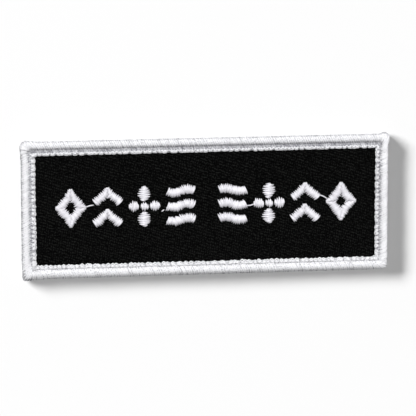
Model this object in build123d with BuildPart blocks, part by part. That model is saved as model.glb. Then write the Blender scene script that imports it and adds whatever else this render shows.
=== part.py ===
# Embroidered cloth patch with a merrowed edge, lying face up on its border.
# X runs along the rows of ornaments, Y up the face and Z out of it, from the border's underside.
import os
from collections import namedtuple
from math import cos, radians, sin, tan

from build123d import *

# Outline along the straight sides of the border
PATCH_W = 101.6
PATCH_H = 38.1

# Ground cloth, and the air between it and every thread that lies on it
CLOTH_T = 1.0
CLOTH_INSET = 0.8
CLEAR = 0.05

# Merrowed border in section, from its outer edge inwards
BORDER_W = 3.9
CROWN_W = 2.25
GROOVE_W = 0.45
UNDER_T = 0.5
CROWN_RISE = 0.8
GROOVE_RISE = 0.12
APRON_RISE = 0.55
CROWN_ROUND = 1.1
UNDER_ROUND = 0.8
SLOPE_ROUND = 0.6
APRON_ROUND = 0.25

# Border's corners, where the overlock flares and turns
CORNER_R = 2.0
FIELD_R = 0.8
FLARE = 0.95
FLARE_RUN = 7.0
FLARE_BLEND = 10.0

# Satin columns, and the cells that the ornaments fill
STROKE = 2.35
SATIN_H = 0.76
SATIN_EDGE = 0.2
SATIN_ROUND = 0.36
CELL_W = 8.8
CELL_H = 11.3
CELL_GAP = 1.28
CELLS_A_GROUP = 4
GROUP_X = 22.3
ROW_Y = 0.65

# Own sizes of the ornaments
CHEVRON_ANGLE = 39.0
WAVE_ANGLE = 30.0
EYE_R = 1.1
PETAL_GAP = 0.3
PETAL_TIP_R = 0.4
LONG_PETAL_W = 3.4
SHORT_PETAL_W = 2.8

# Heights worked out from the layers
CLOTH_Z = UNDER_T + CLEAR
THREAD_Z = CLOTH_Z + CLOTH_T + CLEAR
CROWN_Z = THREAD_Z + CROWN_RISE
GROOVE_Z = THREAD_Z + GROOVE_RISE
APRON_Z = THREAD_Z + APRON_RISE

# One row a corner, counterclockwise: its side of X and Y, its turn outside and at the field as
# shares of CORNER_R and FIELD_R, its flare in X and Y as shares of FLARE and how far each runs as
# shares of FLARE_RUN, the border's width of BORDER_W
Corner = namedtuple(
    "Corner", "side_x side_y turn field_turn flare_x flare_y run_x run_y width_x width_y"
)
CORNERS = [
    Corner(-1, -1, 0.75, 0.50, 0.00, 0.30, 1.0, 1.0, 1.02, 1.05),
    Corner(+1, -1, 0.70, 1.00, 0.00, 0.00, 1.0, 1.0, 0.97, 1.00),
    Corner(+1, +1, 1.00, 0.50, 0.80, 1.00, 0.8, 0.7, 0.98, 0.98),
    Corner(-1, +1, 1.00, 0.50, 0.85, 0.50, 1.1, 0.7, 0.99, 1.00),
]

os.makedirs("parts", exist_ok=True)
pieces = {}


# Closed loops of the border, from its outer edge (share 0) to the black field (share 1)
def loop_face(share):
    points = []
    radii = []
    for corner in CORNERS:
        x = PATCH_W / 2 - share * BORDER_W * corner.width_x
        y = PATCH_H / 2 - share * BORDER_W * corner.width_y
        flare_x = (1 - share) * FLARE * corner.flare_x
        flare_y = (1 - share) * FLARE * corner.flare_y
        along_x = (corner.side_x * (x - FLARE_RUN * corner.run_y), corner.side_y * y)
        along_y = (corner.side_x * x, corner.side_y * (y - FLARE_RUN * corner.run_x))
        tip = (corner.side_x * (x + flare_x), corner.side_y * (y + flare_y))
        turn = (1 - share) * CORNER_R * corner.turn + share * FIELD_R * corner.field_turn
        stations = [(tip, turn)]
        if flare_x:
            stations.append((along_y, FLARE_BLEND))
        if flare_y:
            stations.insert(0, (along_x, FLARE_BLEND))
        if corner.side_x == corner.side_y:
            stations.reverse()
        for point, radius in stations:
            points.append(point)
            radii.append(radius)
    with BuildSketch() as loop:
        with BuildLine():
            FilletPolyline(*points, radius=radii, close=True)
        make_face()
    return loop.sketch


def band_share(distance):
    return distance / BORDER_W


# Ground cloth: one plain sheet whose cut edge lies inside the border
with BuildPart() as ground_cloth:
    with BuildSketch(Plane.XY.offset(CLOTH_Z)):
        add(loop_face(band_share(CLOTH_INSET)))
    extrude(amount=CLOTH_T)
pieces["ground_cloth"] = ground_cloth

# Border: a rolled crown, a groove and a low apron, wrapped round the cloth's edge
with BuildPart() as merrow_border:
    with BuildSketch():
        add(loop_face(0))
    extrude(amount=CROWN_Z)
    with BuildSketch(Plane.XY.offset(GROOVE_Z)):
        add(loop_face(band_share(CROWN_W)))
    extrude(amount=CROWN_RISE, mode=Mode.SUBTRACT)
    fillet(faces().sort_by(Axis.Z)[-1].inner_wires()[0].edges(), radius=SLOPE_ROUND)
    fillet(faces().sort_by(Axis.Z)[-1].outer_wire().edges(), radius=CROWN_ROUND)
    fillet(faces().sort_by(Axis.Z)[0].outer_wire().edges(), radius=UNDER_ROUND)
    with BuildSketch(Plane.XY.offset(GROOVE_Z)):
        add(loop_face(band_share(CROWN_W + GROOVE_W)))
        add(loop_face(1), mode=Mode.SUBTRACT)
    extrude(amount=APRON_Z - GROOVE_Z)
    apron_top = faces().filter_by(Plane.XY).filter_by_position(Axis.Z, APRON_Z, APRON_Z)[0]
    fillet(apron_top.edges(), radius=APRON_ROUND)
    with BuildSketch():
        add(loop_face(1))
    extrude(amount=CROWN_Z, mode=Mode.SUBTRACT)
    with BuildSketch(Plane.XY.offset(UNDER_T)):
        add(loop_face(band_share(CLOTH_INSET - CLEAR)))
    extrude(amount=THREAD_Z - UNDER_T, mode=Mode.SUBTRACT)
pieces["merrow_border"] = merrow_border


# Satin column: an arched section swept along its centre line
def column_section(path):
    along = path % 0
    across = Vector(0, 0, 1).cross(along)
    with BuildSketch(Plane(origin=path @ 0, x_dir=across, z_dir=along)) as section:
        with BuildLine():
            Line((-STROKE / 2, SATIN_EDGE), (-STROKE / 2, 0))
            Line((-STROKE / 2, 0), (STROKE / 2, 0))
            Line((STROKE / 2, 0), (STROKE / 2, SATIN_EDGE))
            ThreePointArc((STROKE / 2, SATIN_EDGE), (0, SATIN_H), (-STROKE / 2, SATIN_EDGE))
        make_face()
    return section.sketch


def straight_column(place, points):
    with BuildPart() as column:
        with BuildLine(place) as path:
            Polyline(*points)
        add(column_section(path.line))
        sweep(path=path.line, transition=Transition.RIGHT)
    return column


# Lozenge: four straight columns mitred into one ring
def lozenge(place):
    half_w = CELL_W / 2
    half_h = CELL_H / 2
    reach = half_w * half_h / (half_w**2 + half_h**2) ** 0.5
    middle = (reach - STROKE / 2) / reach
    top = (0, half_h * middle)
    right = (half_w * middle, 0)
    bottom = (0, -half_h * middle)
    left = (-half_w * middle, 0)
    seam = ((top[0] + left[0]) / 2, (top[1] + left[1]) / 2)
    return straight_column(place, [seam, left, bottom, right, top, seam])


# Chevron: two columns that meet at a point, as wide as the cell
CHEVRON_REACH = CELL_W / 2 - STROKE / 2 * sin(radians(CHEVRON_ANGLE))
CHEVRON_RISE = CHEVRON_REACH * tan(radians(CHEVRON_ANGLE))
CHEVRON_PEAK = CHEVRON_RISE + STROKE / 2 / cos(radians(CHEVRON_ANGLE))
CHEVRON_FOOT = STROKE / 2 * cos(radians(CHEVRON_ANGLE))


def chevron(place):
    points = [(-CHEVRON_REACH, 0), (0, CHEVRON_RISE), (CHEVRON_REACH, 0)]
    return straight_column(place, points)


# Wave: one column along two opposite arcs, as wide as the cell
WAVE_REACH = CELL_W / 2 - STROKE / 2 * sin(radians(WAVE_ANGLE))
WAVE_SWING = WAVE_REACH / 2 * tan(radians(WAVE_ANGLE / 2))
WAVE_STEP = (CELL_H - STROKE) / 2 - WAVE_SWING


def wave(place, hand):
    reach = hand * WAVE_REACH
    with BuildPart() as column:
        with BuildLine(place) as path:
            ThreePointArc((-reach, 0), (-reach / 2, WAVE_SWING), (0, 0))
            ThreePointArc((0, 0), (reach / 2, -WAVE_SWING), (reach, 0))
        add(column_section(path.line))
        sweep(path=path.line)
    return column


# Petal: a satin leaf from the flower's eye to the edge of the cell
def petal(place, tip, width):
    root = EYE_R + PETAL_GAP
    middle = (root + tip) / 2
    with BuildPart() as leaf:
        with BuildSketch(place):
            with BuildLine():
                ThreePointArc((root, 0), (middle, -width / 2), (tip, 0))
                ThreePointArc((tip, 0), (middle, width / 2), (root, 0))
            make_face()
            fillet(vertices(), radius=PETAL_TIP_R)
        extrude(amount=SATIN_H)
        fillet(faces().sort_by(Axis.Z)[-1].edges(), radius=SATIN_ROUND)
    return leaf


def eye(place):
    with BuildPart() as boss:
        with BuildSketch(place):
            Circle(EYE_R)
        extrude(amount=SATIN_H)
        fillet(faces().sort_by(Axis.Z)[-1].edges(), radius=SATIN_ROUND)
    return boss


# Ornaments: two mirrored groups of four, from the outer end of the row inwards
def cell_centre(hand, number):
    steps = (CELLS_A_GROUP - 1) / 2 - number
    return hand * (GROUP_X + steps * (CELL_W + CELL_GAP))


def placed(x, y, turn=0):
    return Plane(origin=(x, ROW_Y + y, THREAD_Z)).rotated((0, 0, turn))


for side, hand in (("left", -1), ("right", +1)):
    pieces[f"lozenge_{side}"] = lozenge(placed(cell_centre(hand, 0), 0))
    x = cell_centre(hand, 1)
    pieces[f"chevron_upper_{side}"] = chevron(placed(x, CELL_H / 2 - CHEVRON_PEAK))
    pieces[f"chevron_lower_{side}"] = chevron(placed(x, CHEVRON_FOOT - CELL_H / 2))
    x = cell_centre(hand, 2)
    pieces[f"flower_eye_{side}"] = eye(placed(x, 0))
    pieces[f"petal_top_{side}"] = petal(placed(x, 0, 90), CELL_H / 2, LONG_PETAL_W)
    pieces[f"petal_bottom_{side}"] = petal(placed(x, 0, -90), CELL_H / 2, LONG_PETAL_W)
    pieces[f"petal_east_{side}"] = petal(placed(x, 0), CELL_W / 2, SHORT_PETAL_W)
    pieces[f"petal_west_{side}"] = petal(placed(x, 0, 180), CELL_W / 2, SHORT_PETAL_W)
    x = cell_centre(hand, 3)
    pieces[f"wave_upper_{side}"] = wave(placed(x, WAVE_STEP), hand)
    pieces[f"wave_middle_{side}"] = wave(placed(x, 0), hand)
    pieces[f"wave_lower_{side}"] = wave(placed(x, -WAVE_STEP), hand)

# One file for each piece
for name, piece in pieces.items():
    piece.part.label = name
    export_step(piece.part, f"parts/{name}.step")
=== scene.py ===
import math
import random
from bisect import bisect_right
from collections import namedtuple

import bpy
from mathutils import Matrix, Quaternion, Vector, noise


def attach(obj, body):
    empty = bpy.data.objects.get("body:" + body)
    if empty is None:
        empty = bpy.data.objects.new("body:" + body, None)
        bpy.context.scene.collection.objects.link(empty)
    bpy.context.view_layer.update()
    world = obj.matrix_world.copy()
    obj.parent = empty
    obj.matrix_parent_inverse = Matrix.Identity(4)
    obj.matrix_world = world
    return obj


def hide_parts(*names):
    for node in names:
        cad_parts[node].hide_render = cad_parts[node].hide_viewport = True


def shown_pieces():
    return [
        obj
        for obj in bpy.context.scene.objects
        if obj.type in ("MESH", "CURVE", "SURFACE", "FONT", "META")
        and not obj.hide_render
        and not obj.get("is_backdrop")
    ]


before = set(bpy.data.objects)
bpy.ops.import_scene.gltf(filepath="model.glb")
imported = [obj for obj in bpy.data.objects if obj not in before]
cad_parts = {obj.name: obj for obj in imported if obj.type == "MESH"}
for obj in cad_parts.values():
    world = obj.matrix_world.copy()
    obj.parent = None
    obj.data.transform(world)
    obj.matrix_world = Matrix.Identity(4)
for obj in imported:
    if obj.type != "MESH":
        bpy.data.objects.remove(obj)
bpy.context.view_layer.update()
bpy.ops.object.select_all(action="DESELECT")

# Camera: far above the patch, a little to its left and towards its top, as the photograph was
# taken. A long lens keeps the sides of the patch almost parallel.
MM = 0.001
FOCAL_PX = 2915
IMAGE_PX = 416
SENSOR = 36
CAMERA_D = 800 * MM
TILT = Vector((0.1722, 0.1518, 0.0138))
OFF_AXIS = (0.593 * MM, -0.583 * MM)

to_patch = Quaternion(TILT.normalized(), -TILT.length)
bpy.ops.object.camera_add(location=to_patch @ Vector((*OFF_AXIS, CAMERA_D)))
camera = bpy.context.object
camera.name = "camera"
camera.rotation_mode = "QUATERNION"
camera.rotation_quaternion = to_patch
camera.data.sensor_width = SENSOR
camera.data.lens = FOCAL_PX * SENSOR / IMAGE_PX
camera.data.clip_start = 0.1 * CAMERA_D
camera.data.clip_end = 10 * CAMERA_D
bpy.context.scene.camera = camera

# Ground cloth: one piece of black polyester twill on its woven backing, 1 mm thick together.
# It is cut to the patch's outline and held by the overlocked border, which wraps its edge.
CLOTH_W = 100.0 * MM
CLOTH_H = 36.5 * MM
CLOTH_R = 1.7 * MM
CLOTH_TOP = 1.55 * MM
CLOTH_T = 1.0 * MM
CORNER_STEPS = 5
CLOTH_SMOOTH = 30
BLACK_GROUND = (0.0010, 0.0011, 0.0010, 1)
GROUND_GRAIN = 9000
GROUND_DEPTH = 0.02 * MM


class Value:
    """One output of a shader node. Sums on it become Math nodes."""

    def __init__(self, finish, output):
        self.finish = finish
        self.output = output

    def part(self, name):
        return Value(self.finish, self.output.node.outputs[name])

    def maths(self, operation, *others):
        return self.finish.node("ShaderNodeMath", {"operation": operation}, self, *others)

    def __add__(self, other):
        return self.maths("ADD", other)

    def __mul__(self, other):
        return self.maths("MULTIPLY", other)

    def __sub__(self, other):
        return self.maths("SUBTRACT", other)

    def __rsub__(self, other):
        return (self * -1) + other

    __radd__ = __add__
    __rmul__ = __mul__


class Finish:
    """A procedural material, made from expressions on its sockets."""

    def __init__(self, name, roughness, specular):
        self.material = bpy.data.materials.new(name)
        self.material.use_nodes = True
        self.tree = self.material.node_tree
        self.shader = self.tree.nodes["Principled BSDF"]
        self.feed("Roughness", roughness)
        self.feed("Specular IOR Level", specular)

    def link(self, socket, value):
        if isinstance(value, Value):
            self.tree.links.new(value.output, socket)
        else:
            socket.default_value = value

    def feed(self, name, value):
        self.link(self.shader.inputs[name], value)

    def node(self, kind, settings, *values, output=0, **named):
        made = self.tree.nodes.new(kind)
        for key, setting in settings.items():
            setattr(made, key, setting)
        for socket, value in zip(made.inputs, values):
            self.link(socket, value)
        for key, value in named.items():
            self.link(made.inputs[key], value)
        return Value(self, made.outputs[output])

    def place(self):
        return self.node("ShaderNodeTexCoord", {}, output="Object")

    def between(self, axis, start, end):
        """How far each place of the piece has come along an axis from start to end, from 0 to 1."""
        place = self.node("ShaderNodeSeparateXYZ", {}, self.place())
        return self.ramp(place.part(axis), start, end)

    def noise(self, scale, detail=2):
        return self.node("ShaderNodeTexNoise", {}, Vector=self.place(), Scale=scale, Detail=detail)

    def blend(self, share, one, other):
        """A colour between two. The Mix node takes them on its inputs 6 and 7."""
        mixed = self.node("ShaderNodeMix", {"data_type": "RGBA"}, share, output=2)
        self.link(mixed.output.node.inputs[6], one)
        self.link(mixed.output.node.inputs[7], other)
        return mixed

    def ramp(self, value, start, end):
        """How far a value has come from start to end, from 0 to 1."""
        share = (value - start) * (1 / (end - start))
        return share.maths("MINIMUM", 1).maths("MAXIMUM", 0)

    def relief(self, height, depth):
        bump = self.node("ShaderNodeBump", {}, Height=height, Distance=depth)
        self.feed("Normal", bump)


def select_only(piece):
    bpy.ops.object.select_all(action="DESELECT")
    piece.select_set(True)
    bpy.context.view_layer.objects.active = piece


def settle(piece, name, finish, smooth_angle=60):
    """Names a finished piece, puts its place into its mesh, and gives it its material and slot."""
    select_only(piece)
    bpy.ops.object.transform_apply(location=True, rotation=True, scale=True)
    bpy.ops.object.shade_smooth_by_angle(angle=math.radians(smooth_angle))
    piece.name = name
    piece.data.name = name
    piece.data.materials.clear()
    piece.data.materials.append(finish.material)
    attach(piece, "root")


black_ground = Finish("black_ground", roughness=0.9, specular=0.02)
black_ground.feed("Base Color", BLACK_GROUND)
black_ground.relief(black_ground.noise(GROUND_GRAIN), GROUND_DEPTH)

bpy.ops.mesh.primitive_plane_add(size=1, location=(0, 0, CLOTH_TOP))
twill_cloth = bpy.context.object
twill_cloth.scale = (CLOTH_W, CLOTH_H, 1)
bpy.ops.object.transform_apply(location=True, rotation=True, scale=True)
bpy.ops.object.mode_set(mode="EDIT")
bpy.ops.mesh.select_all(action="SELECT")
bpy.ops.mesh.bevel(offset=CLOTH_R, segments=CORNER_STEPS, affect="VERTICES")
bpy.ops.object.mode_set(mode="OBJECT")
wall = twill_cloth.modifiers.new("thickness", "SOLIDIFY")
wall.thickness = CLOTH_T
wall.offset = -1
bpy.ops.object.modifier_apply(modifier="thickness")
settle(twill_cloth, "twill_cloth", black_ground, CLOTH_SMOOTH)
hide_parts("ground_cloth")

# Twill weave: each fine warp yarn floats over three picks and dives under the fourth, and each next
# yarn does so almost a pick further to the left, so the floats line up in ribs that fall gently.
# The picks beneath show as faint upright lines, and the yarn is worn paler in specks.
WARP_PITCH = 0.199 * MM
PICK_PITCH = 0.6115 * MM
PICK_SKEW = 0.0245 * MM
FLOAT_PICKS = 4
FLOAT_L = 1.75 * MM
FLOAT_W = 0.20 * MM
FLOAT_T = 0.13 * MM
FLOAT_Z = 1.56 * MM
FLOAT_FULL = 1.28
FLOAT_DRIFT = (0.05, 0.012, 0.008)
SPARE_PERIODS = 3
WEAVE_W = 96.0 * MM
WEAVE_H = 32.4 * MM
BLACK_YARN = (0.0004, 0.0004, 0.0005, 1)
BLACK_YARN_WORN = (0.0129, 0.0133, 0.0127, 1)
PICK_ROWS = (1635, -225, 0)
THREAD_GRAIN = 2600
SPECKS = 18
PICKS_SEEN = 1.6
WORN_SHARE = -0.25

black_twill = Finish("black_twill", roughness=0.8, specular=0.015)
dot_product = {"operation": "DOT_PRODUCT"}
rows = black_twill.node(
    "ShaderNodeVectorMath", dot_product, black_twill.place(), PICK_ROWS, output="Value"
)
over_pick = (rows * math.tau).maths("SINE")
specks = black_twill.noise(THREAD_GRAIN, 0) - 0.5
fade = specks * SPECKS + over_pick * PICKS_SEEN + WORN_SHARE
black_twill.feed("Base Color", black_twill.blend(fade, BLACK_YARN, BLACK_YARN_WORN))


def repeat(piece, count, offset):
    """Repeats a piece count times at an even offset."""
    select_only(piece)
    array = piece.modifiers.new("repeat", "ARRAY")
    array.count = count
    array.use_relative_offset = False
    array.use_constant_offset = True
    array.constant_offset_displace = offset
    bpy.ops.object.modifier_apply(modifier="repeat")


bpy.ops.mesh.primitive_uv_sphere_add(segments=4, ring_count=4, radius=0.5)
weave = bpy.context.object
weave.rotation_euler = (0, math.radians(90), 0)
bpy.ops.object.transform_apply(location=False, rotation=True, scale=False)
for vertex in weave.data.vertices:
    if abs(vertex.co.x) < 0.45:
        vertex.co.x *= FLOAT_FULL
weave.scale = (FLOAT_L, FLOAT_W, FLOAT_T)
bpy.ops.object.transform_apply(location=False, rotation=False, scale=True)
period = FLOAT_PICKS * PICK_PITCH
periods_x = math.ceil(WEAVE_W / period) + SPARE_PERIODS
periods_y = math.ceil(WEAVE_H / (FLOAT_PICKS * WARP_PITCH))
float_size = len(weave.data.vertices)
lag = FLOAT_PICKS * PICK_SKEW * periods_y
start = Vector((-periods_x * period / 2 + period / 2 - lag / 2, -WEAVE_H / 2, FLOAT_Z))
weave.data.transform(Matrix.Translation(start))
repeat(weave, FLOAT_PICKS, (PICK_SKEW - PICK_PITCH, WARP_PITCH, 0))
repeat(weave, periods_x, (period, 0, 0))
repeat(weave, periods_y, (FLOAT_PICKS * PICK_SKEW, FLOAT_PICKS * WARP_PITCH, 0))
rng = random.Random(3)
for vertex in weave.data.vertices:
    if vertex.index % float_size == 0:
        stray = Vector([rng.gauss(0, spread) for spread in FLOAT_DRIFT]) * MM
    vertex.co += stray
bpy.ops.object.mode_set(mode="EDIT")
for direction in ((1, 0, 0), (-1, 0, 0)):
    bpy.ops.mesh.select_all(action="SELECT")
    edge = Vector(direction) * WEAVE_W / 2
    bpy.ops.mesh.bisect(plane_co=edge, plane_no=direction, use_fill=True, clear_outer=True)
bpy.ops.object.mode_set(mode="OBJECT")
settle(weave, "twill_weave", black_twill)

# Merrowed border: thick white polyester thread, overlocked round the cut edge of the cloth.
# Its strands wrap over the edge side by side, and lie on a padded core that fills the roll.
PATCH_W = 101.6 * MM
PATCH_H = 38.1 * MM
BORDER_W = 3.9 * MM
CORNER_R = 2.0 * MM
FIELD_R = 0.8 * MM
FLARE = 0.95 * MM
FLARE_RUN = 7.0 * MM
FLARE_POWER = 1.4
FAN_STEPS = 24
ROLL_W = 2.1 * MM
ROLL_FOOT = 0.8 * MM
FIELD_SIDE = 3.3 * MM
LEAN_FOOT = 0.52 * MM
LEAN_RIGHT = 0.20 * MM
LEAN_LEFT = 0.20 * MM
LEAN_FULL = 1.0 * MM
LEAN_EDGE = 0.35
SLUMP = 1.0 * MM
SLUMP_RUN = 6.0 * MM
STITCH_PITCH = 1.2 * MM
STRANDS_A_STITCH = 4
STRAND_W = 0.36 * MM
STRAND_T = 0.32 * MM
STRAND_SIDES = 6
SLANT = 0.5
CROWN_INSET = 1.2 * MM
THREAD_SMOOTH = 80

# One row a corner, counterclockwise: its side of X and Y, then its turn outside and at the field,
# its flare in X and Y and how far each runs, how far from the tip they are at their most, the
# border's width and how far the roll slumps inwards there, all as shares of the above
Corner = namedtuple(
    "Corner", "side_x side_y turn field_turn flare_x flare_y run_x run_y peak width_x width_y slump"
)
CORNERS = [
    Corner(-1, -1, 0.55, 0.50, 0.00, 0.55, 1.0, 1.0, 0.0, 1.02, 1.05, 0.35),
    Corner(+1, -1, 0.70, 1.00, 0.00, 0.00, 1.0, 1.0, 0.0, 0.97, 1.00, 0.00),
    Corner(+1, +1, 1.05, 0.50, 1.15, 1.60, 0.5, 0.4, 0.55, 0.98, 0.98, 0.05),
    Corner(-1, +1, 1.30, 0.50, 0.60, 0.90, 0.9, 0.7, 0.0, 0.99, 1.00, 0.15),
]


def turned(tip, arrive, leave, radius, share):
    """A point of a rounded corner, at a share of its quarter turn."""
    centre = tip + (leave - arrive) * radius
    angle = share * math.pi / 2
    return centre + (arrive * math.sin(angle) - leave * math.cos(angle)) * radius


def corner_fan(corner):
    """Pairs of points round a corner, on the outer edge and at the field, in equal outer steps."""
    side = Vector((corner.side_x, corner.side_y))
    tip = Vector((side.x * PATCH_W / 2, side.y * PATCH_H / 2))
    width = Vector((BORDER_W * corner.width_x, BORDER_W * corner.width_y))
    field = Vector((tip.x - side.x * width.x, tip.y - side.y * width.y))
    across = Vector((side.x, 0))
    upwards = Vector((0, side.y))
    arrive, leave = (upwards, -across) if side.x == side.y else (across, -upwards)
    radius = CORNER_R * corner.turn
    field_radius = FIELD_R * corner.field_turn
    before = abs((tip - field).dot(arrive)) + field_radius - radius
    after = abs((tip - field).dot(leave)) + field_radius - radius
    round_it = math.pi / 2 * radius
    total = before + round_it + after
    pairs = []
    for step in range(FAN_STEPS + 1):
        share = step / FAN_STEPS
        run = share * total
        if run < before:
            outer = tip - arrive * (radius + before - run)
        elif run < before + round_it:
            outer = turned(tip, arrive, leave, radius, (run - before) / round_it)
        else:
            outer = tip + leave * (radius + run - before - round_it)
        pairs.append((outer, turned(field, arrive, leave, field_radius, share)))
    return pairs


fans = [pair for corner in CORNERS for pair in corner_fan(corner)]
fans.append(fans[0])


def way_round(inset):
    """How far round the border each pair of points is, measured at one distance from the edge."""
    line = [outer.lerp(inner, inset / BORDER_W) for outer, inner in fans]
    far = [0.0]
    for last, point in zip(line, line[1:]):
        far.append(far[-1] + (point - last).length)
    return far


def ear(corner, run, from_tip):
    """Share of a corner's flare at a distance from its tip."""
    fall = max(0, 1 - from_tip / (FLARE_RUN * run)) ** FLARE_POWER
    rise = min(1, from_tip / (CORNER_R * corner.peak)) if corner.peak else 1
    return fall * rise


def flared(point):
    """A point of the outer edge, pushed out where the overlock flares at the corners."""
    moved = point.copy()
    for corner in CORNERS:
        from_tip_x = PATCH_W / 2 - corner.side_x * point.x
        from_tip_y = PATCH_H / 2 - corner.side_y * point.y
        near_x = max(0, 1 - from_tip_x / (2 * CORNER_R))
        near_y = max(0, 1 - from_tip_y / (2 * CORNER_R))
        ear_x = ear(corner, corner.run_x, from_tip_y) * min(1, 2 * near_x)
        ear_y = ear(corner, corner.run_y, from_tip_x) * min(1, 2 * near_y)
        moved.x += corner.side_x * FLARE * corner.flare_x * ear_x
        moved.y += corner.side_y * FLARE * corner.flare_y * ear_y
    return moved


def slump(point):
    """How far the roll leans inwards at a corner, beyond what it does along the sides."""
    lean = 0
    for corner in CORNERS:
        tip = Vector((corner.side_x * PATCH_W / 2, corner.side_y * PATCH_H / 2))
        lean += SLUMP * corner.slump * max(0, 1 - (point - tip).length / SLUMP_RUN)
    return lean


def clamped(value):
    return max(0, min(1, value))


def on_border(way, along, inset, height):
    """The place of a point along the border's way round, in from its edge, and up.

    The roll leans inwards at the foot, the right and the corners, and outwards at the left.
    """
    along %= way[-1]
    number = min(bisect_right(way, along), len(way) - 1)
    span = way[number] - way[number - 1]
    share = (along - way[number - 1]) / span if span else 0
    outer = fans[number - 1][0].lerp(fans[number][0], share)
    inner = fans[number - 1][1].lerp(fans[number][1], share)
    out = (outer - inner).normalized()
    lean = (
        LEAN_FOOT * max(0, -out.y) ** 3
        + LEAN_RIGHT * max(0, out.x) ** 2
        - LEAN_LEFT * max(0, -out.x) ** 2
        + slump(outer)
    )
    rise = (height - ROLL_FOOT) / ROLL_FOOT if lean > 0 else LEAN_EDGE + inset / LEAN_FULL
    fade = (FIELD_SIDE - inset) / (FIELD_SIDE - ROLL_W)
    inset += lean * clamped(rise) * clamped(fade)
    point = flared(outer).lerp(inner, inset / BORDER_W)
    return Vector((point.x, point.y, height))


THREAD_END = 0.7
END_MARGIN = 0.01


def thread_pattern(sides, steps, width, thickness, end_width=THREAD_END):
    """A straight thread along X from 0 to 1, pinched at its ends.

    Its UV map says how far along and how far round each point is.
    """
    bpy.ops.object.select_all(action="DESELECT")
    bpy.ops.mesh.primitive_circle_add(vertices=sides, radius=0.5, fill_type="NGON")
    pattern = bpy.context.object
    pattern.rotation_euler = (math.radians(90), 0, math.radians(90))
    bpy.ops.object.transform_apply(location=False, rotation=True, scale=False)
    bpy.ops.object.mode_set(mode="EDIT")
    bpy.ops.mesh.select_all(action="SELECT")
    for _ in range(steps):
        bpy.ops.mesh.extrude_region_move(TRANSFORM_OT_translate={"value": (1 / steps, 0, 0)})
    bpy.ops.mesh.select_all(action="SELECT")
    bpy.ops.mesh.normals_make_consistent(inside=False)
    bpy.ops.object.mode_set(mode="OBJECT")
    for vertex in pattern.data.vertices:
        pinch = 1 if END_MARGIN < vertex.co.x < 1 - END_MARGIN else end_width
        vertex.co.y *= width * pinch
        vertex.co.z *= thickness * pinch
    layer = pattern.data.uv_layers.new(name="along")
    for loop in pattern.data.loops:
        point = pattern.data.vertices[loop.vertex_index].co
        girth = math.atan2(point.z / thickness, point.y / width) / math.tau
        layer.data[loop.index].uv = (END_MARGIN + (1 - 2 * END_MARGIN) * point.x, girth)
    return pattern


def lay(pattern, count, place):
    """Copies the pattern in one mesh, and gives each point of each copy its place."""
    select_only(pattern)
    bpy.ops.object.duplicate()
    row = bpy.context.object
    repeat(row, count, (0, 0, 0))
    size = len(pattern.data.vertices)
    for vertex in row.data.vertices:
        vertex.co = place(vertex.index // size, vertex.co)
    layer = row.data.uv_layers["along"]
    for loop in row.data.loops:
        layer.data[loop.index].uv.x += loop.vertex_index // size
    return row


WHITE_THREAD = (0.88, 0.88, 0.90, 1)
# The dark end of the thread's blends: its darker tones, and painted shade
WHITE_THREAD_DARK_AND_SHADED = (0.20, 0.20, 0.225, 1)
TWIST_DEPTH = 0.05 * MM


class Yarn(Finish):
    """White thread with a twisted surface, a tone of its own for each thread, and some mottling."""

    def __init__(self, name, roughness, specular, turns):
        super().__init__(name, roughness, specular)
        way = self.node("ShaderNodeUVMap", {"uv_map": "along"})
        parts = self.node("ShaderNodeSeparateXYZ", {}, way)
        self.number = parts.maths("FLOOR")
        self.along = parts.maths("FRACT")
        self.own = self.node("ShaderNodeTexWhiteNoise", {"noise_dimensions": "1D"}, W=self.number)
        twist = (parts * turns + parts.part("Y") * 2).maths("FRACT")
        self.relief((twist - 0.5).maths("ABSOLUTE"), TWIST_DEPTH)


# Shade of the strands: mottled and darker on every other strand, with painted shade in the groove
# and down the outer flank, and painted light and shade that differ from side to side. Each side of
# the border takes its own share of these, and the plain numbers below are weights.
FOOT_SIDE = ("Y", -13.5 * MM, -15.5 * MM)
HEAD_SIDE = ("Y", 14.8 * MM, 16.2 * MM)
LEFT_SIDE = ("X", -47.0 * MM, -48.5 * MM)
RIGHT_SIDE = ("X", 47.0 * MM, 48.5 * MM)
GROOVE_SPAN = (0.64, 0.78)
LOOPS_SPAN = (0.82, 0.90)
FLANK_SPAN = (0.44, 0.32)
LEFT_FLANK_SPAN = (0.56, 0.36)
OTHER_STRAND_TONE = 0.6
SHADE_START = -0.30
SHADE_GAIN = 0.85

wrap_thread = Yarn("white_wrap_thread", roughness=0.5, specular=0.4, turns=30)
foot = wrap_thread.between(*FOOT_SIDE)
head = wrap_thread.between(*HEAD_SIDE)
left = wrap_thread.between(*LEFT_SIDE)
right = wrap_thread.between(*RIGHT_SIDE)
every_other = (wrap_thread.number * 0.5).maths("FRACT") * OTHER_STRAND_TONE
mottle_and_side_shade = (wrap_thread.noise(THREAD_GRAIN) - 0.5) * (1.9 + foot * 0.9 - head * 0.2)
# Painted light and shade by side: darker at the top, lighter at the left and the right
mottle_and_side_shade += head * 0.3 - left * 0.16 - right * 0.14
# Painted shade in the groove, less at the foot, and more beside the loops at the top
in_groove = wrap_thread.ramp(wrap_thread.along + head * 0.05, *GROOVE_SPAN)
groove_shade = in_groove * (wrap_thread.own * 0.4 + 0.5) * (1 - head * 0.1 - foot * 0.9)
groove_shade += wrap_thread.ramp(wrap_thread.along, *LOOPS_SPAN) * head * 0.25
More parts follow.
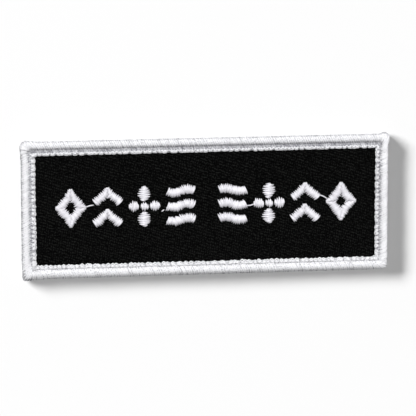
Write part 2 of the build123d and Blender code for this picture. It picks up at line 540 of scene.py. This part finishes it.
# Painted shade down the outer flank, more at the top, the left and the right
side_flank_shade = (right * 0.4 + left * 0.5) * (1 - head * 0.6) * (1 - foot * 0.6)
flank_shade = wrap_thread.ramp(wrap_thread.along, *FLANK_SPAN)
flank_shade *= wrap_thread.own * 0.5 - 0.2 + head * 0.5 + side_flank_shade
flank_shade += wrap_thread.ramp(wrap_thread.along, *LEFT_FLANK_SPAN) * left * (1 - head) * 0.55
tone = wrap_thread.own * (0.4 - head * 0.25) + every_other + mottle_and_side_shade
shade = (tone + groove_shade + flank_shade + SHADE_START) * SHADE_GAIN
wrap_thread.feed("Base Color", wrap_thread.blend(shade, WHITE_THREAD, WHITE_THREAD_DARK_AND_SHADED))

# Core of the roll: the padding that shows between the strands and the loops, with painted shade
# there, less under the crown. One row a point of its section, in from the edge and up, in
# millimetres.
CORE_SECTION = [
    (0.45, 0.55),
    (0.34, 1.10),
    (0.42, 1.55),
    (0.78, 1.92),
    (1.20, 2.05),
    (1.60, 1.98),
    (1.95, 1.72),
    (2.16, 1.59),
    (2.50, 1.57),
    (2.95, 1.62),
    (3.30, 1.74),
    (3.62, 1.72),
    (3.78, 1.55),
    (3.74, 1.30),
    (3.30, 0.30),
    (0.90, 0.30),
]
CORE_STEPS = 320
CORE_CROWN = ("Z", 1.80 * MM, 1.95 * MM)
CORE_MOTTLE = 1.6
CORE_SHADE = 0.65
CORE_CROWN_PALER = 0.6
CORE_FOOT_PALER = 0.2
CORE_DEPTH = 0.15 * MM
edge_way = way_round(0)
vertices = [
    on_border(edge_way, edge_way[-1] * step / CORE_STEPS, inset * MM, height * MM)
    for step in range(CORE_STEPS)
    for inset, height in CORE_SECTION
]
ring = len(CORE_SECTION)
faces = [
    (
        step * ring + place,
        (step + 1) % CORE_STEPS * ring + place,
        (step + 1) % CORE_STEPS * ring + (place + 1) % ring,
        step * ring + (place + 1) % ring,
    )
    for step in range(CORE_STEPS)
    for place in range(ring)
]
core_mesh = bpy.data.meshes.new("border_core")
core_mesh.from_pydata(vertices, [], faces)
border_core = bpy.data.objects.new("border_core", core_mesh)
bpy.context.collection.objects.link(border_core)
select_only(border_core)
bpy.ops.object.mode_set(mode="EDIT")
bpy.ops.mesh.select_all(action="SELECT")
bpy.ops.mesh.normals_make_consistent(inside=False)
bpy.ops.object.mode_set(mode="OBJECT")
core_thread = Finish("border_core_thread", roughness=0.7, specular=0.2)
# Painted shade on the padding where it shows in the gaps, less under the crown and at the foot
core_shade = (core_thread.noise(THREAD_GRAIN) - 0.5) * CORE_MOTTLE + CORE_SHADE
paler = core_thread.between(*CORE_CROWN) * CORE_CROWN_PALER
core_shade -= paler + core_thread.between(*FOOT_SIDE) * CORE_FOOT_PALER
core_thread.feed("Base Color", core_thread.blend(core_shade, WHITE_THREAD, WHITE_THREAD_DARK_AND_SHADED))
core_thread.relief(core_thread.noise(THREAD_GRAIN), CORE_DEPTH)
settle(border_core, "border_core", core_thread)

# Wraps of the border: strands that lie flat under the patch, go round the roll and dive beside the
# inner row, each a little off its place. The overlock's join gapes slightly near the upper left.
Stray = namedtuple("Stray", "drift pace lane spread")
SHIFT_STRAY = Stray(0.04, 0.30, 0, 0.030)
LIFT_STRAY = Stray(0.04, 0.45, 9, 0.045)
SLANT_STRAY = Stray(0.08, 0.15, 18, 0.03)
OTHER_DIP = 0.05
JOIN_AT = Vector((-50.0, 14.9)) * MM
JOIN_GAP = 0.06 * MM
JOIN_REACH = 9
JOIN_FADE = 4

# One row a point of a strand's middle line in section, in from the edge and up, in millimetres
WRAP_SECTION = [
    (2.70, 0.16),
    (1.75, 0.16),
    (1.00, 0.18),
    (0.42, 0.38),
    (0.15, 0.80),
    (0.10, 1.25),
    (0.20, 1.64),
    (0.47, 1.97),
    (0.82, 2.18),
    (1.20, 2.25),
    (1.57, 2.18),
    (1.87, 1.98),
    (2.10, 1.74),
    (2.30, 1.54),
    (2.56, 1.48),
    (2.86, 1.53),
    (3.20, 1.60),
]
WRAP_STEPS = len(WRAP_SECTION) - 1

roll_way = way_round(CROWN_INSET)
strands = round(roll_way[-1] / STITCH_PITCH) * STRANDS_A_STITCH
rng = random.Random(11)


def strayed(number, stray):
    """Slow drift along the strands, at a pace and in a lane of the noise, and a random spread."""
    angle = math.tau * number / strands
    ring = strands * stray.pace / math.tau
    slow = noise.noise(Vector((math.cos(angle) * ring, math.sin(angle) * ring, stray.lane)))
    return stray.drift * slow + rng.gauss(0, stray.spread)


shifts = [strayed(n, SHIFT_STRAY) * MM for n in range(strands)]
lifts = [(strayed(n, LIFT_STRAY) - OTHER_DIP * (n % 2)) * MM for n in range(strands)]
slants = [SLANT + strayed(n, SLANT_STRAY) for n in range(strands)]
spots = [on_border(roll_way, roll_way[-1] * n / strands, CROWN_INSET, 0).xy for n in range(strands)]
join = min(range(strands), key=lambda n: (spots[n] - JOIN_AT).length)
for number in range(join - JOIN_REACH, join + JOIN_REACH):
    from_join = number - join + 0.5
    shifts[number] += math.copysign(JOIN_GAP, from_join) * math.exp(-abs(from_join) / JOIN_FADE)


def wrap_place(number, point):
    step = round(point.x * WRAP_STEPS)
    inset, height = WRAP_SECTION[step]
    before = WRAP_SECTION[max(step - 1, 0)]
    after = WRAP_SECTION[min(step + 1, WRAP_STEPS)]
    run = Vector((after[0] - before[0], after[1] - before[1])).normalized()
    out = Vector((-run.y, run.x))
    lift = point.z + lifts[number] * min(1, height)
    along = roll_way[-1] * number / strands + shifts[number] + point.y
    along -= slants[number] * inset * MM
    return on_border(roll_way, along, inset * MM + out.x * lift, height * MM + out.y * lift)


strand = thread_pattern(STRAND_SIDES, WRAP_STEPS, STRAND_W, STRAND_T)
border_wraps = lay(strand, strands, wrap_place)
settle(border_wraps, "border_wraps", wrap_thread, THREAD_SMOOTH)
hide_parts("merrow_border")
bpy.data.objects.remove(strand)

# Inner row of the border: where the overlock's threads catch each other on the face, each stitch
# ends in a small leaning loop of two threads, wide at its tip and crossed at its waist. They lie
# on the cloth and give the border its toothed edge.
LOOP_W = 0.23 * MM
LOOP_T = 0.23 * MM
LOOP_SIDES = 7
LOOP_APART = 0.15 * MM
LOOP_WAIST = 0.52
WAIST_REACH = 0.4
WAIST_SHARE = 0.2
LOOP_INSET = 3.2 * MM
LOOP_ROOT = 2.60 * MM
LOOP_TIP = 3.55 * MM
SHIFT_SPREAD = 0.08
REACH_SPREAD = 0.03
RISE_SPREAD = 0.05
LEAN_SPREAD = 0.25
BREADTHS = (0.8, 1.2)
LANE_SHARES = (0.6, 1.6)
LANE_SPREAD = 0.06

# How much further in the loops start and end on each side of the border, in millimetres
Sides = namedtuple("Sides", "foot head left right")
ROOT_MORE = Sides(-0.30, 0.50, 0.00, 0.00)
TIP_MORE = Sides(0.06, 0.15, 0.02, 0.11)
SIDE_X = 49.0 * MM
SIDE_Y = 17.0 * MM

# One row a point of a loop's path, across and in to the tip as shares of the loop, then up from
# the table in millimetres
LOOP_PATH = [
    (-0.60, -0.20, 1.56),
    (-0.34, 0.22, 1.70),
    (-0.02, 0.52, 1.88),
    (0.26, 0.78, 1.92),
    (0.32, 0.97, 1.82),
    (0.00, 1.05, 1.74),
    (-0.32, 0.97, 1.84),
    (-0.26, 0.78, 1.98),
    (0.02, 0.52, 2.12),
    (0.34, 0.22, 1.86),
    (0.60, -0.20, 1.58),
]
LOOP_STEPS = len(LOOP_PATH) - 1

loop_way = way_round(LOOP_INSET)
loops = round(loop_way[-1] / STITCH_PITCH)
rng = random.Random(5)
loop_shifts = [rng.gauss(0, SHIFT_SPREAD) * MM for _ in range(loops)]
loop_reach = [1 + rng.gauss(0, REACH_SPREAD) for _ in range(loops)]
loop_lift = [rng.gauss(0, RISE_SPREAD) * MM for _ in range(loops)]
loop_lean = [rng.gauss(0, LEAN_SPREAD) for _ in range(loops)]
loop_hand = [rng.choice((-1, 1)) for _ in range(loops)]
loop_breadth = [rng.uniform(*BREADTHS) for _ in range(loops)]
lane_share = [rng.uniform(*LANE_SHARES) for _ in range(2 * loops)]
lane_lift = [rng.gauss(0, LANE_SPREAD) * MM for _ in range(2 * loops)]


def on_sides(point):
    """How much a point of the border belongs to each side of it, from 0 to 1."""
    past = (-point.y - SIDE_Y, point.y - SIDE_Y, -point.x - SIDE_X, point.x - SIDE_X)
    return Sides(*(clamped(distance / MM) for distance in past))


def by_side(sides, more):
    """What a point takes of the lengths that each side adds."""
    return sum(share * length for share, length in zip(sides, more)) * MM


def loop_place(thread, point):
    number = thread // 2
    step = round(point.x * LOOP_STEPS)
    centre = Vector(LOOP_PATH[step])
    run = Vector(LOOP_PATH[min(step + 1, LOOP_STEPS)]) - Vector(LOOP_PATH[max(step - 1, 0)])
    side = Vector((-run.y, run.x, 0)).normalized()
    up = run.cross(side).normalized()
    if up.z < 0:
        up = -up
    lane = LOOP_APART * (thread % 2 - 0.5) * 2 * lane_share[thread]
    from_waist = min(1, abs(centre.y - LOOP_WAIST) / WAIST_REACH)
    lane *= WAIST_SHARE + (1 - WAIST_SHARE) * from_waist
    centre.x *= loop_breadth[number]
    place = centre * MM + side * (point.y + lane) + up * (point.z + lane_lift[thread])
    place.x = loop_hand[number] * place.x + loop_lean[number] * place.y
    along = loop_way[-1] * (number + 0.5) / loops + place.x + loop_shifts[number]
    sides = on_sides(on_border(loop_way, along, 0, 0))
    root = LOOP_ROOT + by_side(sides, ROOT_MORE)
    tip = LOOP_TIP + by_side(sides, TIP_MORE)
    inset = root + place.y / MM * (tip - root) * loop_reach[number]
    return on_border(loop_way, along, inset, place.z + loop_lift[number])


loop_pattern = thread_pattern(LOOP_SIDES, LOOP_STEPS, LOOP_W, LOOP_T)
border_loops = lay(loop_pattern, 2 * loops, loop_place)

# Shade of the loops: mottled, with painted shade on their legs, a painted highlight where they
# cross and painted light and shade that differ from side to side, weighed in the same way
ROW_HEAD = ("Y", 13.5 * MM, 14.5 * MM)
ROW_RIGHT = ("X", 44.5 * MM, 45.5 * MM)
LEGS_SPAN = (0.31, 0.42)
CROSSING_AT = 0.28
CROSSING_SPAN = (0.10, 0.04)
KNOTS_START = -0.44

loop_thread = Yarn("white_loop_thread", roughness=0.45, specular=0.5, turns=14)
row_foot = loop_thread.between(*FOOT_SIDE)
row_head = loop_thread.between(*ROW_HEAD)
row_right = loop_thread.between(*ROW_RIGHT)
loop_mottle_and_side_shade = (loop_thread.noise(THREAD_GRAIN) - 0.5) * 2.6 + KNOTS_START
# Painted light and shade by side: the top row lighter, the foot and right rows darker
loop_mottle_and_side_shade += row_right * 0.1 + row_foot * 0.15 - row_head * 0.6
from_tip = (loop_thread.along - 0.5).maths("ABSOLUTE")
# Painted shade on the legs where they dive beside the roll, less at the foot and the top
leg_shade = loop_thread.ramp(from_tip, *LEGS_SPAN) * (1 - row_foot * 0.5 - row_head * 0.3)
# Painted highlight where the threads cross
crossing_highlight = loop_thread.ramp((from_tip - CROSSING_AT).maths("ABSOLUTE"), *CROSSING_SPAN)
loop_tone = loop_thread.own * (0.8 - (row_foot + row_head) * 0.3)
loop_shade = (loop_tone + loop_mottle_and_side_shade + leg_shade - crossing_highlight * 0.5) * SHADE_GAIN
loop_thread.feed("Base Color", loop_thread.blend(loop_shade, WHITE_THREAD, WHITE_THREAD_DARK_AND_SHADED))
settle(border_loops, "border_loops", loop_thread, THREAD_SMOOTH)
bpy.data.objects.remove(loop_pattern)

# Ornaments: satin columns of glossy white embroidery thread, laid side by side across each stroke
# and pulled down through the cloth at both ends, so that each column stands up as a soft ridge.
STROKE = 2.35 * MM
CELL_W = 8.8 * MM
CELL_H = 11.3 * MM
CELL_STEP = 10.08 * MM
CELLS_A_GROUP = 4
GROUP_X = 22.3 * MM
CELLS_Y = 0.65 * MM
CHEVRON_ANGLE = math.radians(39)
WAVE_ANGLE = math.radians(30)
EYE_R = 1.1 * MM
PETAL_ROOT = 1.4 * MM
LONG_PETAL_W = 3.4 * MM
SHORT_PETAL_W = 2.8 * MM
SATIN_PITCH = 0.28 * MM
SATIN_W = 0.40 * MM
SATIN_T = 0.24 * MM
SATIN_FOOT = 1.50 * MM
SATIN_RISE = 0.82 * MM
SATIN_STEPS = 12
SATIN_SIDES = 7
SATIN_END = 0.5
SATIN_FULLNESS = 0.4
SATIN_BOW = 1.8
SATIN_TIP = 0.25
SATIN_TAPER = 4
HOLE_STRAY = 0.05
LIFT_SPREAD = 0.04
HOLE_REACH = (-0.06, 0.30)
END_LIFT = 0.16 * MM
SHORTEST_STITCH = 0.35 * MM
MITRE_OVERLAP = 0.16 * MM
UNDERLAY_LANES = (0.28, 0.5, 0.72)
UNDERLAY_W = 0.62 * MM
UNDERLAY_T = 0.34 * MM
UNDERLAY_Z = 1.74 * MM
UNDERLAY_SIDES = 6
SATIN_WHITE = (0.84, 0.83, 0.87, 1)
SATIN_SHADE = (0.50, 0.49, 0.54, 1)
SATIN_GRAIN = 3000
SATIN_MOTTLE = 1.1
SATIN_OWN = 0.4
SATIN_DULL = 0.05

satin_thread = Yarn("white_satin_thread", roughness=0.4, specular=0.6, turns=9)
satin_mottle = (satin_thread.noise(SATIN_GRAIN) - 0.5) * SATIN_MOTTLE
satin_tone = satin_thread.own * SATIN_OWN + satin_mottle + SATIN_DULL
satin_thread.feed("Base Color", satin_thread.blend(satin_tone, SATIN_WHITE, SATIN_SHADE))

stitch = thread_pattern(SATIN_SIDES, SATIN_STEPS, SATIN_W, SATIN_T, SATIN_END)
satin_rng = random.Random(21)


def satin(name, node, centre, stitches, open_ends=False):
    """Lays one stitch across each pair of points round a centre, over lengthwise underlay.

    At open ends the last stitches stand up a little, as nothing follows that holds them down.
    """
    holes = []
    for number, pair in enumerate(stitches):
        here, there = pair[number % 2], pair[number % 2 - 1]
        within = 0 < number < len(stitches) - 1
        reach = satin_rng.uniform(*HOLE_REACH) * MM * within
        stray = Vector([satin_rng.gauss(0, HOLE_STRAY) for _ in range(2)]) * MM
        holes.append(centre + here + (here - there).normalized() * reach + stray)
    lifts = [satin_rng.gauss(0, LIFT_SPREAD) * MM for _ in stitches]
    if open_ends:
        lifts[0] += END_LIFT
        lifts[-2] += END_LIFT

    def place(number, point):
        first, last = holes[number], holes[number + 1]
        run = last - first
        side = Vector((-run.y, run.x)).normalized()
        fullness = min(1, run.length / STROKE) ** SATIN_FULLNESS
        bow = max(0, math.sin(math.pi * point.x)) ** SATIN_BOW
        height = SATIN_FOOT + (SATIN_RISE * fullness + lifts[number]) * bow + point.z
        far = 0.5 - 0.5 * math.cos(math.pi * point.x)
        taper = min(1, SATIN_TIP + SATIN_TAPER * min(far, 1 - far) * run.length / STROKE)
        flat = first.lerp(last, far) + side * point.y * taper
        return Vector((flat.x, flat.y, height))

    steps = len(stitches) - 1

    def under(lane, point):
        station = round(point.x * steps)
        first, last = stitches[station]
        run = (last - first).normalized()
        flat = centre + first.lerp(last, UNDERLAY_LANES[lane]) + run * point.y
        return Vector((flat.x, flat.y, UNDERLAY_Z + point.z))

    underlay_pattern = thread_pattern(UNDERLAY_SIDES, steps, UNDERLAY_W, UNDERLAY_T)
    underlay = lay(underlay_pattern, len(UNDERLAY_LANES), under)
    bpy.data.objects.remove(underlay_pattern)
    piece = lay(stitch, steps, place)
    underlay.select_set(True)
    bpy.ops.object.join()
    settle(piece, name, satin_thread, THREAD_SMOOTH)
    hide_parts(node)


def leg(start, end, lean_start, lean_end):
    """Stitches across a straight column, cut short by a leaning mitre at either end."""
    run = end - start
    length = run.length
    ahead = run / length
    side = Vector((-ahead.y, ahead.x))
    half = STROKE / 2
    low_s = -half * abs(lean_start)
    high_s = length + half * abs(lean_end)
    count = round((high_s - low_s) / SATIN_PITCH)
    made = []
    for number in range(count):
        at = low_s + (number + 0.5) * (high_s - low_s) / count
        low, high = -half, half
        for lean, room in ((lean_start, at), (lean_end, length - at)):
            if lean > 0:
                low = max(low, -room / lean - MITRE_OVERLAP)
            elif lean < 0:
                high = min(high, room / -lean + MITRE_OVERLAP)
        if high - low > SHORTEST_STITCH:
            made.append((start + ahead * at + side * low, start + ahead * at + side * high))
    return made


def mitred(points, closed):
    """Stitches across a chain of straight columns that meet in mitres."""
    count = len(points)

    def lean(number):
        if not closed and number in (0, count - 1):
            return 0
        back = points[number] - points[number - 1]
        on = points[(number + 1) % count] - points[number]
        turn = math.atan2(back.x * on.y - back.y * on.x, back.dot(on))
        return math.tan(turn / 2)

    made = []
    for number in range(count if closed else count - 1):
        after = (number + 1) % count
        made += leg(points[number], points[after], -lean(number), -lean(after))
    return made


half_w = CELL_W / 2
half_h = CELL_H / 2
reach = half_w * half_h / math.hypot(half_w, half_h)
middle = (reach - STROKE / 2) / reach
LOZENGE = [
    Vector((0, half_h * middle)),
    Vector((-half_w * middle, 0)),
    Vector((0, -half_h * middle)),
    Vector((half_w * middle, 0)),
]

chevron_reach = half_w - STROKE / 2 * math.sin(CHEVRON_ANGLE)
chevron_rise = chevron_reach * math.tan(CHEVRON_ANGLE)
chevron_peak = chevron_rise + STROKE / 2 / math.cos(CHEVRON_ANGLE)
chevron_foot = STROKE / 2 * math.cos(CHEVRON_ANGLE)
CHEVRON = [Vector((-chevron_reach, 0)), Vector((0, chevron_rise)), Vector((chevron_reach, 0))]

wave_reach = half_w - STROKE / 2 * math.sin(WAVE_ANGLE)
wave_swing = wave_reach / 2 * math.tan(WAVE_ANGLE / 2)
wave_step = (CELL_H - STROKE) / 2 - wave_swing


def wave_stitches(hand):
    """Stitches across two opposite arcs that run into each other."""
    bend = wave_reach / 2 / math.sin(WAVE_ANGLE)
    made = []
    count = round(2 * (bend + STROKE / 2) * WAVE_ANGLE / SATIN_PITCH)
    for arc in (-1, 1):
        for number in range(count):
            angle = WAVE_ANGLE * ((number + 0.5) / count * 2 - 1)
            outward = Vector((math.sin(angle) * hand, -arc * math.cos(angle)))
            centre = Vector((arc * hand * wave_reach / 2, arc * bend * math.cos(WAVE_ANGLE)))
            made.append((
                centre + outward * (bend + arc * STROKE / 2),
                centre + outward * (bend - arc * STROKE / 2),
            ))
    return made


def swung(point, degrees):
    angle = math.radians(degrees)
    return Vector((
        point.x * math.cos(angle) - point.y * math.sin(angle),
        point.x * math.sin(angle) + point.y * math.cos(angle),
    ))


def petal_stitches(tip, width, turn):
    """Stitches across a leaf from its root to its tip."""
    half = (tip - PETAL_ROOT) / 2
    bend = (half**2 + (width / 2) ** 2) / width
    count = round((tip - PETAL_ROOT) / SATIN_PITCH)
    made = []
    for number in range(count):
        x = -half + (number + 0.5) * 2 * half / count
        y = math.sqrt(bend**2 - x**2) - (bend - width / 2)
        ends = [Vector((PETAL_ROOT + half + x, side * y)) for side in (-1, 1)]
        made.append(tuple(swung(end, turn) for end in ends))
    return made


def eye_stitches():
    count = round(2 * EYE_R / SATIN_PITCH)
    made = []
    for number in range(count):
        x = EYE_R * ((number + 0.5) / count * 2 - 1)
        y = math.sqrt(EYE_R**2 - x**2)
        made.append((Vector((x, -y)), Vector((x, y))))
    return made


def cell_centre(hand, number):
    steps = (CELLS_A_GROUP - 1) / 2 - number
    return Vector((hand * (GROUP_X + steps * CELL_STEP), CELLS_Y))


for side, hand in (("left", -1), ("right", 1)):
    cells = [cell_centre(hand, number) for number in range(CELLS_A_GROUP)]
    satin(f"satin_lozenge_{side}", f"lozenge_{side}", cells[0], mitred(LOZENGE, closed=True))
    for level, y in (("upper", half_h - chevron_peak), ("lower", chevron_foot - half_h)):
        satin(
            f"satin_chevron_{level}_{side}",
            f"chevron_{level}_{side}",
            cells[1] + Vector((0, y)),
            mitred(CHEVRON, closed=False),
            open_ends=True,
        )
    satin(f"satin_eye_{side}", f"flower_eye_{side}", cells[2], eye_stitches())
    for way, tip, width, turn in (
        ("top", half_h, LONG_PETAL_W, 90),
        ("bottom", half_h, LONG_PETAL_W, -90),
        ("east", half_w, SHORT_PETAL_W, 0),
        ("west", half_w, SHORT_PETAL_W, 180),
    ):
        satin(
            f"satin_petal_{way}_{side}",
            f"petal_{way}_{side}",
            cells[2],
            petal_stitches(tip, width, turn),
        )
    for level, step in (("upper", 1), ("middle", 0), ("lower", -1)):
        satin(
            f"satin_wave_{level}_{side}",
            f"wave_{level}_{side}",
            cells[3] + Vector((0, step * wave_step)),
            wave_stitches(hand),
            open_ends=True,
        )

# Jump threads: where the machine moved from one ornament to the next it left the satin thread lying
# on the cloth, tied in at both ends, and one of them is trimmed to a short tuft. One row a thread,
# in millimetres: where it starts and ends, how far it bows aside and how far it rises.
JUMP_W = 0.36 * MM
JUMP_T = 0.28 * MM
JUMP_STEPS = 6
JUMP_SIDES = 6
JUMP_Z = 1.72 * MM
Jump = namedtuple("Jump", "x y to_x to_y bow rise")
JUMPS = [
    Jump(-33.3, 0.85, -31.1, 1.35, 0.15, 0.30),
    Jump(-12.5, -0.95, -11.8, -0.45, 0.05, 0.25),
    Jump(11.0, 0.10, 13.3, 0.60, -0.15, 0.25),
    Jump(31.2, 2.55, 33.6, 1.35, 0.20, 0.30),
]


def jump_place(number, point):
    jump = JUMPS[number]
    run = Vector((jump.to_x - jump.x, jump.to_y - jump.y))
    side = Vector((-run.y, run.x)).normalized()
    arch = math.sin(math.pi * point.x)
    flat = (Vector((jump.x, jump.y)) + run * point.x + side * jump.bow * arch) * MM + side * point.y
    return Vector((flat.x, flat.y, JUMP_Z + jump.rise * arch * MM + point.z))


jump_pattern = thread_pattern(JUMP_SIDES, JUMP_STEPS, JUMP_W, JUMP_T)
jump_threads = lay(jump_pattern, len(JUMPS), jump_place)
settle(jump_threads, "jump_threads", satin_thread, THREAD_SMOOTH)
bpy.data.objects.remove(jump_pattern)
bpy.data.objects.remove(stitch)

# Table: a plain white sheet, lit from the upper left, so that the patch throws a soft shadow to
# the lower right. The patch itself is lit more evenly, from beyond its top edge.
TABLE_SIZE = 6.0
TABLE_WHITE = (0.8, 0.8, 0.8, 1)
AMBIENT = 0.20
KEY_FROM = (-0.86, 0.51)
KEY_HEIGHT = math.radians(16.1)
KEY_FAR = 20.0
KEY_SIZE = (11.0, 2.6)
KEY_POWER = 12100
FILL_STRENGTH = 0.72
TOP_HEIGHT = math.radians(59)
TOP_SPREAD = math.radians(14)
TOP_STRENGTH = 3.65
TOP_ASIDE = -0.09

bpy.ops.object.select_all(action="DESELECT")
bpy.ops.mesh.primitive_plane_add(size=TABLE_SIZE)
table = bpy.context.object
table.name = "table"
table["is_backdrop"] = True
white_table = Finish("white_table", roughness=1, specular=0)
white_table.feed("Base Color", TABLE_WHITE)
table.data.materials.append(white_table.material)


def lit_group(name, things):
    group = bpy.data.collections.new(name)
    for thing in things:
        group.objects.link(thing)
    return group


def lamp(kind, name, direction, far, energy, lights):
    """A lamp that shines at the patch from a direction, on these things alone."""
    bpy.ops.object.light_add(type=kind, location=Vector(direction).normalized() * far)
    made = bpy.context.object
    made.name = name
    made.rotation_mode = "QUATERNION"
    made.rotation_quaternion = Vector(direction).to_track_quat("Z", "Y")
    made.data.energy = energy
    made.visible_camera = False
    made.light_linking.receiver_collection = lit_group(name + "_lights", lights)
    return made.data


key_flat = math.cos(KEY_HEIGHT) / math.hypot(*KEY_FROM)
key_way = (KEY_FROM[0] * key_flat, KEY_FROM[1] * key_flat, math.sin(KEY_HEIGHT))
key = lamp("AREA", "key_lamp", key_way, KEY_FAR, KEY_POWER, [table])
key.shape = "RECTANGLE"
key.size, key.size_y = KEY_SIZE
lamp("SUN", "table_fill", (0, 0, 1), 1, FILL_STRENGTH, [table]).use_shadow = False
top_way = (TOP_ASIDE, math.cos(TOP_HEIGHT), math.sin(TOP_HEIGHT))
lamp("SUN", "top_lamp", top_way, 1, TOP_STRENGTH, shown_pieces()).angle = TOP_SPREAD
world = bpy.data.worlds.new("studio")
bpy.context.scene.world = world
world.use_nodes = True
world.node_tree.nodes["Background"].inputs["Color"].default_value = (1, 1, 1, 1)
world.node_tree.nodes["Background"].inputs["Strength"].default_value = AMBIENT
bpy.context.scene.view_settings.view_transform = "Standard"
